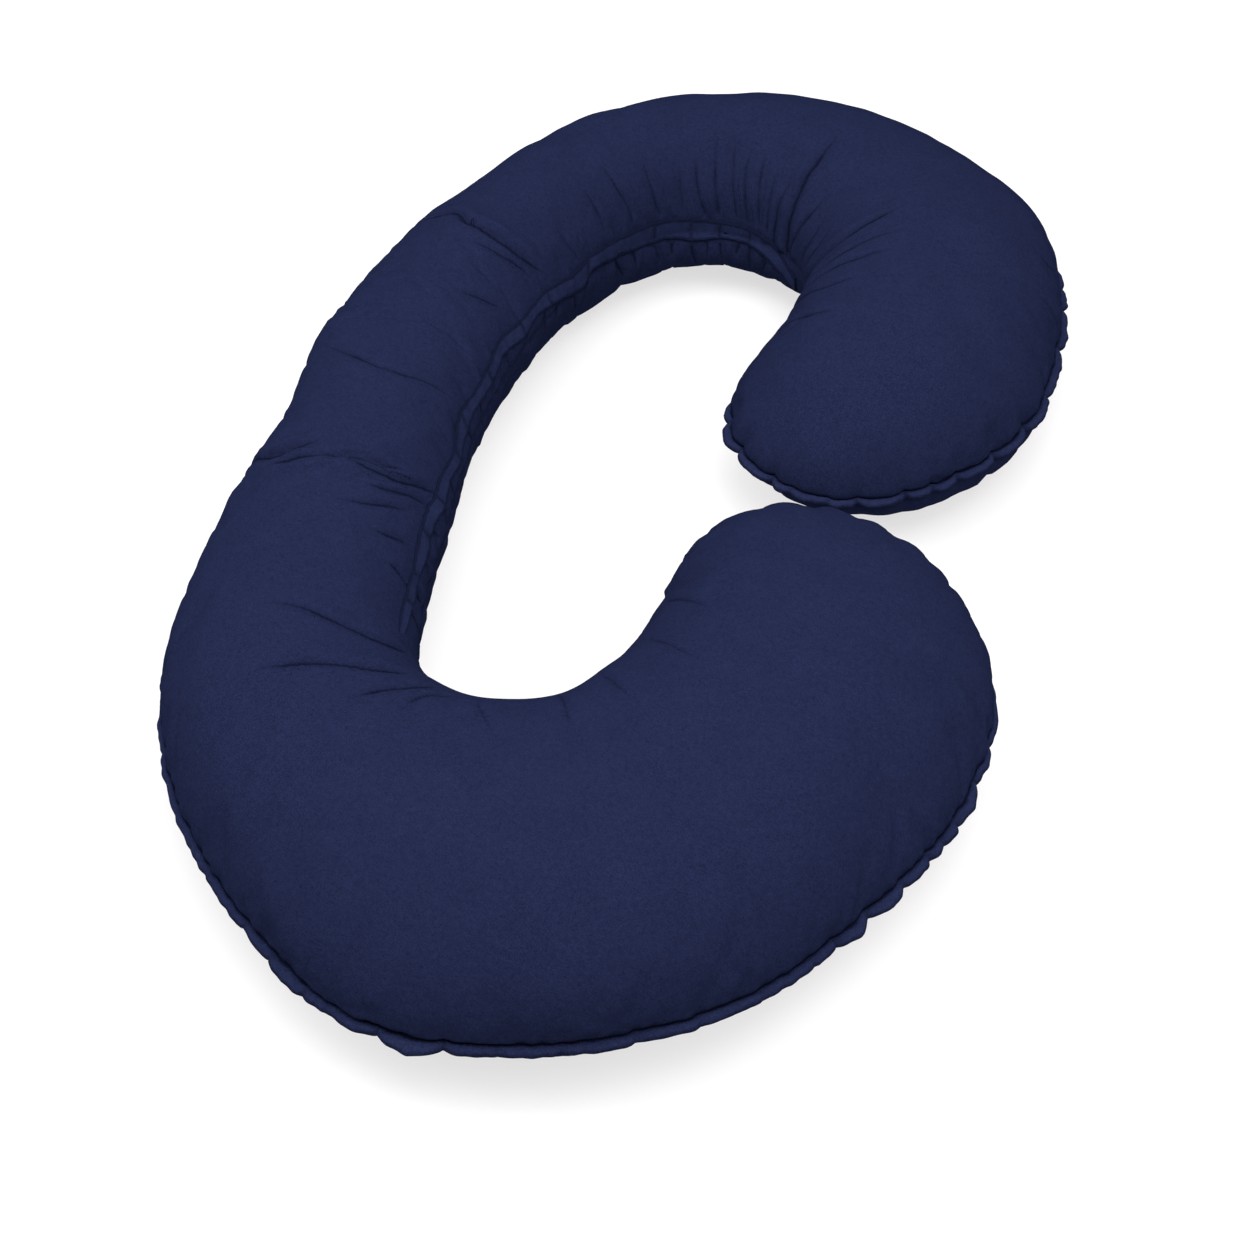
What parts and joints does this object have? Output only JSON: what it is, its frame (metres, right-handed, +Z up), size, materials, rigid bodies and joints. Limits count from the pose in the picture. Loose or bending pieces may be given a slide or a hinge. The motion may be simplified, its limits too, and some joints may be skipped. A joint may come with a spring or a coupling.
{
  "type": "pregnancy pillow",
  "caption": "C-shaped full-body pillow, one long stuffed tube bent round an open middle, with a turned-out seam flange and a zip placket on its inner wall.",
  "frame": {"origin": "on the floor, under the middle of the outline's box", "axes": "+X across the C towards its opening, +Y along its length towards the upper lobe, +Z up from the surface it lies on"},
  "size_m": [0.7844, 1.4046, 0.1904],
  "materials": {
    "jersey_body": "soft matt navy cotton jersey, stretched smooth over the filling",
    "jersey_flange": "navy jersey seam allowance, stitched along its middle and lightly ruffled",
    "jersey_placket": "navy jersey band folded over the zip, gently puckered"
  },
  "bodies": {
    "root": {"pillow_body": "jersey_body", "seam_flange": "jersey_flange", "zip_placket": "jersey_placket"}
  },
  "joints": []
}
